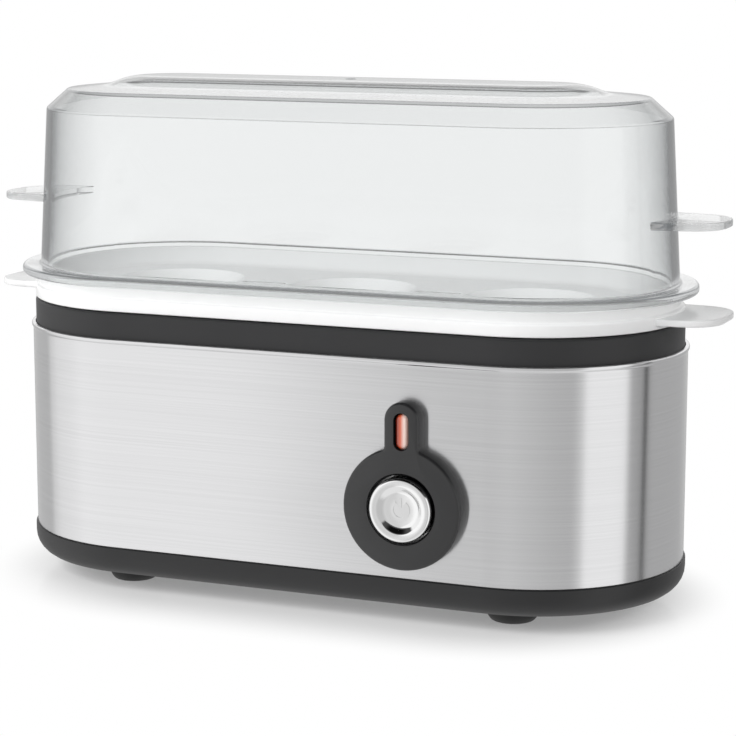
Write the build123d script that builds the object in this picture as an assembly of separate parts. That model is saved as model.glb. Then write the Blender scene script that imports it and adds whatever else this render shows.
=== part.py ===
from build123d import *
import os

# Electric egg cooker with a racetrack outline: a stainless skirt between dark mouldings, a heated dish under the
# deck, a lift-out rack with three seats, a clear lid and a sprung push button in a keyhole bezel.
# Millimetres. +X runs along the body, -Y is the control side, +Z is up, and the origin is at table level under
# the middle of the body. An inset is a distance inwards from the face of the skirt.

# Body outline, measured on the skirt. The ends are half circles.
body_length = 185.0
body_depth = 80.4
end_radius = body_depth / 2
end_centre = body_length / 2 - end_radius

# Heights of the bands, from the table up.
foot_height = 5.0
base_band = 7.5
skirt_height = 56.8
housing_band = 6.8
rack_skirt_height = 3.2
rack_band_height = 3.25
lid_wall_height = 44.9
lid_chamfer_height = 5.15
lid_rise_height = 1.1
lid_crown_height = 2.3

# A piece that lifts off stands this far above what it rests on.
lift_gap = 0.3

base_z = foot_height
skirt_z = base_z + base_band
housing_z = skirt_z + skirt_height
housing_top = housing_z + housing_band
rack_z = housing_top + lift_gap
rack_shoulder_z = rack_z + rack_skirt_height
rack_top = rack_shoulder_z + rack_band_height
lid_z = rack_top + lift_gap
lid_wall_top = lid_z + lid_wall_height
lid_shoulder_z = lid_wall_top + lid_chamfer_height
lid_crown_z = lid_shoulder_z + lid_rise_height
lid_top = lid_crown_z + lid_crown_height

# Base moulding.
base_outset = 0.5
base_edge_height = 3.6
base_bottom_inset = 2.6
base_floor = 2.2
upstand_height = 3.6
upstand_wall = 1.9
foot_end_setback = 37.5
foot_side_setback = 17.2
foot_radius = 7.2
foot_recess_depth = 1.0
vent_length = 18.0
vent_width = 2.4
vent_pitch = 9.0
vent_count = 3

# Stainless skirt, and the play between parts that drop together.
skirt_sheet = 0.6
skirt_rim_height = 1.6
skirt_rim_outset = 0.4
fit_clearance = 0.2

# Upper housing.
housing_inset = 0.85
housing_wall = 1.8
housing_lap = 6.3
recess_inset = 5.6
recess_depth = 3.1
sill_thickness = 1.8
opening_inset = 11.4
tower_inset = 7.0
tower_radius = 2.6

# Long screws through the floor of the base into the housing's towers.
long_screw_radius = 1.45
long_screw_head_radius = 2.4
long_screw_head_height = 1.1
long_screw_length = 14.0

# Heating dish, drawn up under the sill.
dish_sheet = 0.7
dish_flange_inset = 9.7
dish_wall_inset = 12.4
dish_floor_inset = 15.0
dish_depth = 9.2

# Heater stack: spreader, mica heater and the clamp plate below them.
spreader_half_length = 54.0
spreader_half_width = 17.0
spreader_corner = 8.0
spreader_thickness = 4.0
mica_half_length = 52.0
mica_half_width = 15.0
mica_thickness = 1.2
heater_tab_inset = 1.5
heater_tab_length = 10.0
heater_tab_y = 12.0
clamp_half_length = 46.0
clamp_half_width = 27.0
clamp_sheet = 1.2
clamp_ear_half_width = 7.0
clamp_ear_margin = 3.6
clamp_boss_inset = 7.6
clamp_boss_radius = 2.6
small_screw_radius = 1.1
small_screw_head_radius = 2.2
small_screw_head_height = 1.3
clamp_screw_length = 7.0

# Thermostat pressed up against the spreader through both plates.
thermostat_radius = 7.0
thermostat_height = 14.0
thermostat_flange_width = 24.0
thermostat_flange_depth = 10.0
thermostat_flange_sheet = 1.0
tab_width = 6.3
tab_sheet = 0.8
tab_length = 8.0
tab_x = 4.0

# Thermal fuse under the clamp plate.
fuse_x = -27.0
fuse_length = 12.0
fuse_radius = 2.0
fuse_pin_radius = 0.5
fuse_pin_length = 5.0

# Keyhole bezel, lens and push button on the front.
control_x = 32.0
control_z = 31.5
bezel_radius = 15.9
bezel_proud = 4.5
bezel_stem_rise = 22.8
bezel_stem_half_width = 4.7
bezel_edge = 0.6
bezel_neck_round = 1.0
spigot_inset = 1.6
spigot_depth = 2.4
button_radius = 8.4
button_clearance = 0.4
button_proud = 0.8
button_wall = 1.2
button_front = 1.6
button_travel = 2.5
button_lug_radius = 9.8
button_lug_width = 8.0
button_lug_sheet = 1.0
lens_half_width = 2.0
lens_span = 5.6
lens_recess = 1.9
lens_depth = 4.4
lens_clearance = 0.1
post_offset = 11.6
post_radius = 2.4

# Switch behind the button, its bracket and the plunger that works it.
bracket_setback = 8.7
bracket_sheet = 2.0
bracket_half_width = 16.0
bracket_half_height = 11.5
bracket_arm_half_width = 4.0
bracket_arm_top = 26.5
bracket_hole_radius = 3.0
switch_half_width = 7.0
switch_half_height = 7.0
switch_length = 14.0
switch_tab_x = 3.5
plunger_radius = 2.4
plunger_clearance = 0.05
plunger_end_gap = 0.6
plunger_depth = 8.5

# Neon lamp behind the lens.
lamp_radius = 1.9
lamp_length = 8.5
lamp_gap = 1.0
holder_half_width = 3.4
holder_lap = 1.4

# Back of the body: the gland and the terminal block.
gland_x = -30.0
gland_z = 24.0
gland_bore_radius = 3.2
gland_neck_half_width = 5.2
gland_collar_radius = 6.6
gland_collar_length = 5.4
gland_flange_radius = 7.6
gland_flange_length = 5.3
gland_plate_thickness = 1.6
block_pitch = 8.0
block_poles = 3
block_pole_width = 6.0
block_depth = 12.0
block_height = 12.0
block_foot_height = 4.0
block_setback = 22.2
block_wire_z = 5.8

# Leads: how far each runs straight before it turns.
lead_radius = 1.2
block_run = 8.0
earth_run = 5.0
neutral_rise = 14.0
switch_run = 3.5
switch_lead_drop = 8.0
fuse_lead_drop = 6.0

# Rack moulding.
rack_inset = 0.9
rack_wall = 1.6
rack_band_inset = 2.2
rib_inset = 4.9
rib_width = 1.3
rib_height = 1.75
deck_drop = 2.45
deck_inset = 12.4
locator_clearance = 0.5
locator_gap = 0.6
seat_pitch = 51.0
seat_count = 3
seat_top_radius = 17.2
seat_bottom_radius = 13.6
seat_drop = 4.2
steam_slot_length = 13.0
steam_slot_width = 3.0
rack_tab_reach = 11.6
rack_tab_root_half_width = 15.5
rack_tab_tip_half_width = 12.5
rack_tab_corner = 8.0
rack_tab_thickness = 1.8
rack_tab_drop = 0.4

# Clear lid.
lid_wall = 1.8
lid_flange_outset = 2.5
lid_flange_thickness = 2.3
lid_root_inset = 2.5
lid_wall_inset = 5.0
lid_shoulder_inset = 10.8
lid_crown_start_inset = 22.4
lid_crown_inset = 27.4
lid_vent_radius = 1.5
lid_tab_height = 18.25
lid_tab_reach = 11.3
lid_tab_root_half_width = 14.0
lid_tab_tip_half_width = 10.5
lid_tab_corner = 8.0
lid_tab_thickness = 2.0

# How far a cutting form reaches past what it cuts.
cut_past = 1.0

# How a box is aligned that stands on its place, centred over it.
standing = (Align.CENTER, Align.CENTER, Align.MIN)

# Places worked out from the sizes above.
centre = end_radius
foot_x = body_length / 2 - foot_end_setback
foot_y = end_radius - foot_side_setback
clamp_boss_y = end_radius - clamp_boss_inset
base_floor_z = base_z + base_floor
sill_z = housing_top - recess_depth
sill_underside = sill_z - sill_thickness
dish_flange_z = sill_underside - dish_sheet
dish_floor_top = sill_underside - dish_depth
dish_floor_z = dish_floor_top - dish_sheet
spreader_z = dish_floor_z - spreader_thickness
mica_z = spreader_z - mica_thickness
clamp_z = mica_z - clamp_sheet
thermostat_z = spreader_z - thermostat_height
tab_z = thermostat_z - tab_length
fuse_z = clamp_z - fuse_radius
heater_tab_x = heater_tab_inset - mica_half_length
heater_tab_z = mica_z - heater_tab_length
wall_y = -end_radius
bezel_front_y = wall_y - bezel_proud
spigot_back_y = wall_y + spigot_depth
bracket_y = wall_y + bracket_setback
switch_y = bracket_y + bracket_sheet
switch_back_y = switch_y + switch_length
button_face_y = bezel_front_y - button_proud
button_back_y = button_face_y + button_front
button_lug_y = spigot_back_y + lift_gap
lens_front_y = bezel_front_y + lens_recess
lens_back_y = lens_front_y + lens_depth
lens_z = control_z + bezel_stem_rise - lens_span / 2
lamp_y = lens_back_y + lamp_gap + lamp_radius
lamp_z = lens_z - lamp_length / 2
block_y = end_radius - block_setback
block_front_y = block_y - block_depth / 2
block_wire_height = base_floor_z + block_wire_z
deck_z = rack_top - deck_drop
lid_tab_z = lid_z + lid_tab_height


def half_section(corners):
    """A closed half section from (inset, height) corners."""
    return make_face(Polyline(*[(end_radius - inset, height) for inset, height in corners], close=True))


def racetrack(section):
    """Carry a half section round the outline: straight along both sides and half a turn round each end."""
    start = Plane(origin=(-end_centre, 0, 0), x_dir=(0, 1, 0), z_dir=(1, 0, 0))
    finish = Plane(origin=(end_centre, 0, 0), x_dir=(0, 1, 0), z_dir=(1, 0, 0))
    side = extrude(start * section, 2 * end_centre, dir=(1, 0, 0))
    end = revolve(finish * section, Axis((end_centre, 0, 0), (0, 0, -1)), 180)
    return side + mirror(side, Plane.XZ) + end + mirror(end, Plane.YZ)


def upright(radius, low, high, x=0, y=0):
    """A round bar that stands at x, y from low to high."""
    return Pos(x, y, low) * extrude(Circle(radius), high - low)


def front_plane(y):
    """A drawing plane that faces the control side, centred on the button, with its y up the bezel's stem."""
    return Plane(origin=(control_x, y, control_z), x_dir=(1, 0, 0), z_dir=(0, -1, 0))


def rearwards(sketch, front_y, depth):
    """Extrude a sketch of the control group from front_y towards the back of the body."""
    return extrude(front_plane(front_y) * sketch, depth, dir=(0, 1, 0))


def upright_slot(half_width, low, high):
    """A slot between two heights above the button's centre, with half-round ends beyond them."""
    return Pos(0, (low + high) / 2) * SlotOverall(high - low + 2 * half_width, 2 * half_width, rotation=90)


def keyhole(inset):
    """The bezel's outline, drawn in by inset: a disc with a round-ended stem above it."""
    disc = Circle(bezel_radius - inset)
    stem = upright_slot(bezel_stem_half_width - inset, 0, bezel_stem_rise)
    outline = disc + stem
    necks = [v for v in outline.vertices() if 0 < v.Y < bezel_radius]
    return fillet(necks, bezel_neck_round)


def handle_plate(root_x, tip_x, root_half, tip_half, corner, low, thickness):
    """A flat finger tab: a tapered plate that points along +X, with its two outer corners rounded."""
    outline = make_face(Polyline((root_x, -root_half), (tip_x, -tip_half), (tip_x, tip_half), (root_x, root_half),
                                 close=True))
    outer = outline.vertices().sort_by(Axis.X)[-2:]
    return Pos(0, 0, low) * extrude(fillet(outer, corner), thickness)


def screw(x, y, seat_z, length, shaft_radius, head_radius, head_height):
    """A screw driven upwards, its head bearing against seat_z from below."""
    return upright(shaft_radius, seat_z, seat_z + length, x, y) + upright(
        head_radius, seat_z - head_height, seat_z, x, y)


def tower_places():
    """The two long screw towers, one in the middle of each end."""
    return [(side * (body_length / 2 - tower_inset), 0) for side in (-1, 1)]


def foot_places():
    """The four feet by name."""
    return {
        "foot_front_left": (-foot_x, -foot_y),
        "foot_front_right": (foot_x, -foot_y),
        "foot_rear_left": (-foot_x, foot_y),
        "foot_rear_right": (foot_x, foot_y),
    }


def seat_places():
    """The rack's seats, spaced evenly along the middle."""
    return [(n - (seat_count - 1) / 2) * seat_pitch for n in range(seat_count)]


def block_places():
    """The terminal block's poles along X."""
    return [gland_x + (n - (block_poles - 1) / 2) * block_pitch for n in range(block_poles)]


def lead(*points):
    """An insulated lead along straight runs with mitred corners."""
    path = Polyline(*points)
    return sweep(Plane(origin=path @ 0, z_dir=path % 0) * Circle(lead_radius), path=path,
                 transition=Transition.RIGHT)


def base_pan():
    """Dark moulded base: a tray with a turned-under edge, an upstand, foot recesses, vents and screw holes."""
    upstand_inset = skirt_sheet + fit_clearance
    inner_inset = upstand_inset + upstand_wall
    upstand_z = skirt_z + upstand_height
    body = racetrack(half_section([
        (centre, base_z), (base_bottom_inset, base_z), (-base_outset, base_z + base_edge_height),
        (-base_outset, skirt_z), (upstand_inset, skirt_z),
        (upstand_inset, upstand_z), (inner_inset, upstand_z), (inner_inset, base_floor_z), (centre, base_floor_z)]))
    for x, y in foot_places().values():
        body -= upright(foot_radius + fit_clearance, base_z - cut_past, base_z + foot_recess_depth, x, y)
    head_seat = base_z + long_screw_head_height
    for x, y in tower_places():
        body -= upright(long_screw_head_radius + fit_clearance, base_z - cut_past, head_seat, x, y)
        body -= upright(long_screw_radius + fit_clearance, base_z, base_floor_z + cut_past, x, y)
    vent = extrude(SlotOverall(vent_length, vent_width), base_floor + 2 * cut_past)
    for n in range(vent_count):
        body -= Pos(0, (n - (vent_count - 1) / 2) * vent_pitch, base_z - cut_past) * vent
    return body


def foot(x, y):
    """Rubber foot: a low round pad let into the base."""
    return upright(foot_radius, 0, base_z + foot_recess_depth, x, y)


def steel_skirt():
    """Brushed stainless wrap with a rolled rim, cut for the bezel's spigot and notched for the gland's neck."""
    rim_z = housing_z - skirt_rim_height
    body = racetrack(half_section([
        (0, skirt_z), (0, rim_z), (-skirt_rim_outset, rim_z + skirt_rim_outset), (-skirt_rim_outset, housing_z),
        (skirt_sheet, housing_z), (skirt_sheet, skirt_z)]))
    body -= rearwards(keyhole(spigot_inset - fit_clearance), wall_y - cut_past, skirt_sheet + 2 * cut_past)
    low = skirt_z - cut_past
    high = gland_z + gland_neck_half_width + fit_clearance
    width = 2 * (gland_neck_half_width + fit_clearance)
    return body - Pos(gland_x, end_radius, low) * Box(width, 2 * (skirt_sheet + cut_past), high - low, align=standing)


def upper_housing():
    """Dark moulded deck: a band that laps inside the skirt, a recess and sill for the rack, towers and bosses."""
    low = housing_z - housing_lap
    inner_inset = housing_inset + housing_wall
    body = racetrack(half_section([
        (housing_inset, low), (housing_inset, housing_top), (recess_inset, housing_top), (recess_inset, sill_z),
        (opening_inset, sill_z), (opening_inset, sill_underside), (inner_inset, sill_underside), (inner_inset, low)]))
    into_sill = sill_underside + sill_thickness / 2
    for x, y in tower_places():
        body += upright(tower_radius, base_floor_z, into_sill, x, y)
        body -= upright(long_screw_radius, base_z, base_z + long_screw_head_height + long_screw_length, x, y)
    for side in (-1, 1):
        body += upright(clamp_boss_radius, clamp_z + clamp_sheet, into_sill, 0, side * clamp_boss_y)
        body -= upright(small_screw_radius, clamp_z, clamp_z + clamp_screw_length, 0, side * clamp_boss_y)
    return body


def housing_screws():
    """Long screws, driven up through the floor of the base into the housing's towers."""
    seat = base_z + long_screw_head_height
    return Compound([screw(x, y, seat, long_screw_length, long_screw_radius, long_screw_head_radius,
                           long_screw_head_height) for x, y in tower_places()])


def heating_dish():
    """Pressed stainless water dish, its flange held up against the sill."""
    return racetrack(half_section([
        (dish_flange_inset, sill_underside), (dish_wall_inset, sill_underside), (dish_floor_inset, dish_floor_top),
        (centre, dish_floor_top), (centre, dish_floor_z), (dish_floor_inset + dish_sheet / 2, dish_floor_z),
        (dish_wall_inset + dish_sheet, dish_flange_z), (dish_flange_inset, dish_flange_z)]))


def heater_plate():
    """Aluminium spreader under the dish."""
    blank = RectangleRounded(2 * spreader_half_length, 2 * spreader_half_width, spreader_corner)
    return Pos(0, 0, spreader_z) * extrude(blank, spreader_thickness)


def mica_heater():
    """Flat mica heater with a hole for the thermostat and two tabs at one end."""
    sheet = Rectangle(2 * mica_half_length, 2 * mica_half_width) - Circle(thermostat_radius + fit_clearance)
    body = Pos(0, 0, mica_z) * extrude(sheet, mica_thickness)
    for y in (0, heater_tab_y):
        body += Pos(heater_tab_x, y, heater_tab_z) * Box(
            tab_sheet, tab_width, spreader_z - heater_tab_z, align=(Align.CENTER, Align.CENTER, Align.MIN))
    return body


def clamp_plate():
    """Steel plate that holds the heater up against the dish, screwed up by an ear on each side."""
    sheet = Rectangle(2 * clamp_half_length, 2 * clamp_half_width)
    sheet += Rectangle(2 * clamp_ear_half_width, 2 * (clamp_boss_y + clamp_ear_margin))
    sheet -= Circle(thermostat_radius + fit_clearance)
    sheet -= Locations((0, clamp_boss_y), (0, -clamp_boss_y)) * Circle(small_screw_radius)
    return Pos(0, 0, clamp_z) * extrude(sheet, clamp_sheet)


def clamp_screws():
    """Two screws through the clamp plate into the housing's bosses."""
    return Compound([screw(0, side * clamp_boss_y, clamp_z, clamp_screw_length, small_screw_radius,
                           small_screw_head_radius, small_screw_head_height) for side in (-1, 1)])


def thermostat():
    """Snap-disc thermostat with a flange that bears on the clamp plate, and two tabs below."""
    body = upright(thermostat_radius, thermostat_z, spreader_z)
    body += Pos(0, 0, clamp_z) * Box(thermostat_flange_width, thermostat_flange_depth, thermostat_flange_sheet,
                                     align=(Align.CENTER, Align.CENTER, Align.MAX))
    for side in (-1, 1):
        body += Pos(side * tab_x, 0, tab_z) * Box(
            tab_sheet, tab_width, tab_length, align=(Align.CENTER, Align.CENTER, Align.MIN))
    return body


def thermal_fuse():
    """Axial thermal fuse against the clamp plate, with one pin to the heater's tab and one for a lead."""
    tab_face = heater_tab_x + tab_sheet / 2
    low = fuse_x - fuse_length / 2
    high = fuse_x + fuse_length / 2
    body = Pos(fuse_x, 0, fuse_z) * Rotation(0, 90, 0) * Cylinder(fuse_radius, fuse_length)
    near = Plane(origin=(high, 0, fuse_z), z_dir=(1, 0, 0))
    far = Plane(origin=(tab_face, 0, fuse_z), z_dir=(1, 0, 0))
    body += extrude(near * Circle(fuse_pin_radius), fuse_pin_length)
    return body + extrude(far * Circle(fuse_pin_radius), low - tab_face)


def control_bezel():
    """Keyhole bezel: a flat front with its rim taken off, a spigot through the skirt and two staked posts."""
    body = rearwards(keyhole(0), bezel_front_y, bezel_proud)
    body = chamfer(body.faces().sort_by(Axis.Y)[0].edges(), bezel_edge)
    body += rearwards(keyhole(spigot_inset), wall_y, spigot_depth)
    front_y = bezel_front_y - cut_past
    depth = bezel_proud + spigot_depth + 2 * cut_past
    body -= rearwards(Circle(button_radius + button_clearance), front_y, depth)
    low = bezel_stem_rise - lens_span
    body -= rearwards(upright_slot(lens_half_width + lens_clearance, low, bezel_stem_rise), front_y, depth)
    for side in (-1, 1):
        post = Pos(side * post_offset, 0) * Circle(post_radius)
        body += rearwards(post, spigot_back_y - spigot_depth / 2, switch_y - spigot_back_y + spigot_depth / 2)
    return body


def indicator_lens():
    """Moulded light pipe pressed into the bezel's stem."""
    low = bezel_stem_rise - lens_span
    return rearwards(upright_slot(lens_half_width, low, bezel_stem_rise), lens_front_y, lens_depth)


def button_cap():
    """Bright button cap: a round cup with two lugs behind that stop it against the bezel."""
    back_y = button_lug_y + button_lug_sheet
    body = rearwards(Circle(button_radius), button_face_y, back_y - button_face_y)
    lugs = Circle(button_lug_radius) & Rectangle(button_lug_width, 3 * button_lug_radius)
    body += rearwards(lugs, button_lug_y, button_lug_sheet)
    return body - rearwards(Circle(button_radius - button_wall), button_back_y, back_y - button_back_y)


def button_plunger():
    """Nylon plunger from the back of the cap into the switch."""
    return rearwards(Circle(plunger_radius), button_back_y, switch_y + plunger_depth - button_back_y)


def switch_bracket():
    """Moulded bracket across the bezel's posts, with an arm up behind the lamp."""
    plate = Rectangle(2 * bracket_half_width, 2 * bracket_half_height)
    plate += Pos(0, bracket_arm_top / 2) * Rectangle(2 * bracket_arm_half_width, bracket_arm_top)
    plate -= Circle(bracket_hole_radius)
    plate -= Locations((-post_offset, 0), (post_offset, 0)) * Circle(post_radius)
    return rearwards(plate, bracket_y, bracket_sheet)


def switch_body():
    """Push switch on the bracket, with a bore for the plunger and two tabs at the back; its spring is inside."""
    body = rearwards(Rectangle(2 * switch_half_width, 2 * switch_half_height), switch_y, switch_length)
    bore_depth = plunger_depth + button_travel + plunger_end_gap
    body -= rearwards(Circle(plunger_radius + plunger_clearance), switch_y - cut_past, bore_depth + cut_past)
    for x in (-switch_tab_x, switch_tab_x):
        body += rearwards(Pos(x, 0) * Rectangle(tab_sheet, tab_width), switch_back_y, tab_length)
    return body


def neon_lamp():
    """Small neon lamp, standing behind the lens."""
    return upright(lamp_radius, lamp_z, lamp_z + lamp_length, control_x, lamp_y)


def lamp_holder():
    """Cradle on the bracket's arm that holds the lamp from behind."""
    front_y = lamp_y + lamp_radius - holder_lap
    block = Box(2 * holder_half_width, bracket_y - front_y, lamp_length,
                align=(Align.CENTER, Align.MIN, Align.MIN))
    return Pos(control_x, front_y, lamp_z) * block - neon_lamp()


def cord_gland():
    """Gland that slides up into the skirt's notch: flange and plate outside, collar inside, and a clear bore."""
    low = skirt_z + fit_clearance
    neck_y = end_radius - skirt_sheet
    inner_y = neck_y - gland_collar_length
    outside = Plane(origin=(gland_x, end_radius, gland_z), z_dir=(0, 1, 0))
    inside = Plane(origin=(gland_x, inner_y, gland_z), z_dir=(0, 1, 0))
    body = extrude(outside * Circle(gland_flange_radius), gland_flange_length)
    body += extrude(inside * Circle(gland_collar_radius), gland_collar_length)
    body += Pos(gland_x, (neck_y + end_radius) / 2, low) * Box(
        2 * gland_neck_half_width, skirt_sheet, gland_z + gland_neck_half_width - low, align=standing)
    body += Pos(gland_x, end_radius + gland_plate_thickness / 2, low) * Box(
        2 * gland_flange_radius, gland_plate_thickness, gland_z - low, align=standing)
    return body - extrude(inside * Circle(gland_bore_radius), end_radius - inner_y + gland_flange_length)


def terminal_block():
    """Terminal block on the floor of the base: a foot with one upright pole for each lead."""
    length = (block_poles - 1) * block_pitch + block_pole_width
    body = Pos(gland_x, block_y, base_floor_z) * Box(length, block_depth, block_foot_height, align=standing)
    for x in block_places():
        body += Pos(x, block_y, base_floor_z) * Box(block_pole_width, block_depth, block_height, align=standing)
    return body


def live_lead():
    """Lead from the terminal block, low across the floor, up to the switch."""
    x = block_places()[2]
    near_y = block_front_y - block_run
    tab = control_x + switch_tab_x
    end_y = switch_back_y + tab_length
    return lead((x, block_front_y, block_wire_height), (x, near_y, block_wire_height),
                (tab, near_y, block_wire_height), (tab, near_y, control_z), (tab, end_y, control_z))


def switch_lead():
    """Lead from the switch to the thermostat."""
    tab = control_x - switch_tab_x
    end_y = switch_back_y + tab_length
    low_z = tab_z - switch_lead_drop
    return lead((tab, end_y, control_z), (tab, end_y + switch_run, control_z), (tab_x, 0, low_z), (tab_x, 0, tab_z))


def fuse_lead():
    """Lead from the thermostat to the pin of the thermal fuse."""
    low_z = tab_z - fuse_lead_drop
    x = fuse_x + fuse_length / 2 + fuse_pin_length - lead_radius
    return lead((-tab_x, 0, tab_z), (-tab_x, 0, low_z), (x, 0, low_z), (x, 0, fuse_z - fuse_pin_radius))


def neutral_lead():
    """Lead from the terminal block to the heater's second tab."""
    x = block_places()[0]
    near_y = block_front_y - block_run
    turn_z = block_wire_height + neutral_rise
    return lead((x, block_front_y, block_wire_height), (x, near_y, block_wire_height),
                (heater_tab_x, heater_tab_y, turn_z), (heater_tab_x, heater_tab_y, heater_tab_z))


def earth_lead():
    """Earth lead from the terminal block to the clamp plate."""
    x = block_places()[1]
    near_y = block_front_y - earth_run
    return lead((x, block_front_y, block_wire_height), (x, near_y, block_wire_height), (x, near_y, clamp_z))


def rack_seat():
    """One seat: a turned funnel that the lower end of what it carries drops into."""
    low = deck_z - seat_drop
    outline = make_face(Polyline(
        (seat_top_radius, deck_z), (seat_bottom_radius, low), (seat_top_radius, low),
        (seat_top_radius + rack_wall, deck_z - rack_wall), (seat_top_radius + rack_wall, deck_z), close=True))
    return revolve(Plane.XZ * outline, Axis.Z)


def egg_rack():
    """White lift-out rack: a rim that locates in the housing and guides the lid, a sunk deck, seats and tabs."""
    locator_inset = recess_inset + locator_clearance
    locator_inner = locator_inset + rack_wall
    locator_z = sill_z + locator_gap
    body = racetrack(half_section([
        (rack_inset, rack_z), (rack_inset, rack_shoulder_z), (rack_band_inset, rack_shoulder_z),
        (rack_band_inset, rack_top),
        (rib_inset, rack_top), (rib_inset, rack_top + rib_height), (rib_inset + rib_width, rack_top + rib_height),
        (deck_inset, deck_z), (centre, deck_z), (centre, deck_z - rack_wall), (deck_inset, deck_z - rack_wall),
        (locator_inner, rack_top - rack_wall), (locator_inner, locator_z), (locator_inset, locator_z),
        (locator_inset, rack_z)]))
    for x in seat_places():
        body -= upright(seat_top_radius + rack_wall / 2, deck_z - rack_wall - cut_past, deck_z + cut_past, x)
    for x in seat_places():
        body += Pos(x, 0, 0) * rack_seat()
    slot = extrude(SlotOverall(steam_slot_length, steam_slot_width), rack_wall + 2 * cut_past)
    for n in range(seat_count - 1):
        x = (seat_places()[n] + seat_places()[n + 1]) / 2
        body -= Pos(x, 0, deck_z - rack_wall - cut_past) * slot
    low = rack_shoulder_z - rack_tab_drop - rack_tab_thickness
    tab = handle_plate(end_centre, body_length / 2 + rack_tab_reach, rack_tab_root_half_width,
                       rack_tab_tip_half_width, rack_tab_corner, low, rack_tab_thickness)
    root = end_radius - rack_inset - rack_wall
    tab -= upright(root, low - cut_past, low + rack_tab_thickness + cut_past, end_centre)
    return body + tab + mirror(tab, Plane.YZ)


def lid():
    """Clear lid: a drafted wall on a flange, a chamfered shoulder, a raised crown, a steam vent and tabs."""
    shoulder_in = lid_shoulder_z - lid_wall
    crown_in = lid_top - lid_wall
    root_z = lid_z + lid_flange_thickness
    body = racetrack(half_section([
        (-lid_flange_outset, lid_z), (-lid_flange_outset, root_z), (lid_root_inset, root_z),
        (lid_wall_inset, lid_wall_top),
        (lid_shoulder_inset, lid_shoulder_z), (lid_crown_start_inset, lid_crown_z), (lid_crown_inset, lid_top),
        (centre, lid_top), (centre, crown_in), (lid_crown_inset, crown_in),
        (lid_crown_start_inset, lid_crown_z - lid_wall), (lid_shoulder_inset + lid_wall / 2, shoulder_in),
        (lid_wall_inset + lid_wall, lid_wall_top - lid_wall / 2),
        (lid_root_inset + lid_wall, lid_z)]))
    body -= upright(lid_vent_radius, crown_in - cut_past, lid_top + cut_past)
    tab = handle_plate(end_centre, body_length / 2 + lid_tab_reach, lid_tab_root_half_width,
                       lid_tab_tip_half_width, lid_tab_corner, lid_tab_z, lid_tab_thickness)
    share = lid_tab_height / lid_wall_height
    root = end_radius - lid_root_inset - share * (lid_wall_inset - lid_root_inset) - lid_wall / 2
    tab -= upright(root, lid_tab_z - cut_past, lid_tab_z + lid_tab_thickness + cut_past, end_centre)
    return body + tab + mirror(tab, Plane.YZ)


nodes = {
    "base_pan": base_pan(),
    "steel_skirt": steel_skirt(),
    "upper_housing": upper_housing(),
    "housing_screws": housing_screws(),
    "heating_dish": heating_dish(),
    "heater_plate": heater_plate(),
    "mica_heater": mica_heater(),
    "clamp_plate": clamp_plate(),
    "clamp_screws": clamp_screws(),
    "thermostat": thermostat(),
    "thermal_fuse": thermal_fuse(),
    "control_bezel": control_bezel(),
    "indicator_lens": indicator_lens(),
    "button_cap": button_cap(),
    "button_plunger": button_plunger(),
    "switch_bracket": switch_bracket(),
    "switch_body": switch_body(),
    "neon_lamp": neon_lamp(),
    "lamp_holder": lamp_holder(),
    "cord_gland": cord_gland(),
    "terminal_block": terminal_block(),
    "live_lead": live_lead(),
    "switch_lead": switch_lead(),
    "fuse_lead": fuse_lead(),
    "neutral_lead": neutral_lead(),
    "earth_lead": earth_lead(),
    "egg_rack": egg_rack(),
    "lid": lid(),
}
for name, (x, y) in foot_places().items():
    nodes[name] = foot(x, y)

os.makedirs("parts", exist_ok=True)
for name, shape in nodes.items():
    export_step(shape, f"parts/{name}.step")
print(len(nodes), "sub-parts written")
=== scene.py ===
import math

import bmesh
import bpy
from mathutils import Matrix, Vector


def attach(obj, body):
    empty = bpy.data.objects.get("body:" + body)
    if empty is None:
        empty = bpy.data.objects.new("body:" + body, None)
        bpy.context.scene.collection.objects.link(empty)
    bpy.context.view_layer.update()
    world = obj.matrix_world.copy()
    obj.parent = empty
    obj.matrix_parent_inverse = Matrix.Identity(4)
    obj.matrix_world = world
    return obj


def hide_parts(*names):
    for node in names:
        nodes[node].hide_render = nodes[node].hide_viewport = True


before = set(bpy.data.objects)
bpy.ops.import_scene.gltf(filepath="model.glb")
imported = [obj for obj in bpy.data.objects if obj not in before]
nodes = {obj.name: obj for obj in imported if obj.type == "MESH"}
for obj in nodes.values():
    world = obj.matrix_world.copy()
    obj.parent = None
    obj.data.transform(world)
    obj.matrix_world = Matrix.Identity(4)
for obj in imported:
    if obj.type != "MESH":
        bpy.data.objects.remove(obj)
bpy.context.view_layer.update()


# Camera. The cooker is seen from the right of its control side and a little above, with a long lens.
# The place and the lens were fitted to the outlines of the steel, the deck and the lid.
CAMERA_AZIMUTH = math.radians(22.38)
CAMERA_ELEVATION = math.radians(10.17)
CAMERA_DISTANCE = 0.6486
CAMERA_TARGET = Vector((0.00496, 0.0, 0.05873))

camera_data = bpy.data.cameras.new("camera")
camera_data.sensor_width = 36.0
camera_data.lens = 116.93
camera = bpy.data.objects.new("camera", camera_data)
bpy.context.scene.collection.objects.link(camera)
camera_back = Vector((math.sin(CAMERA_AZIMUTH) * math.cos(CAMERA_ELEVATION),
                      -math.cos(CAMERA_AZIMUTH) * math.cos(CAMERA_ELEVATION), math.sin(CAMERA_ELEVATION)))
camera.location = CAMERA_TARGET + CAMERA_DISTANCE * camera_back
camera.rotation_euler = camera_back.to_track_quat("Z", "Y").to_euler()
bpy.context.scene.camera = camera
bpy.context.scene.view_settings.view_transform = "Standard"


# Table. A plain white sweep, as in a catalogue picture. It keeps a soft shadow and a faint reflection under
# the base, and fades to pure white away from a line 80 mm long below the middle. Seen through the lid it is
# white, and the metal mirrors the room in its place.
LINE_HALF_LENGTH = 0.040
SHADOW_REACH = 0.038
WHITE_REACH = 0.066
WHITE_UNDER_BASE = 0.25


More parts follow.
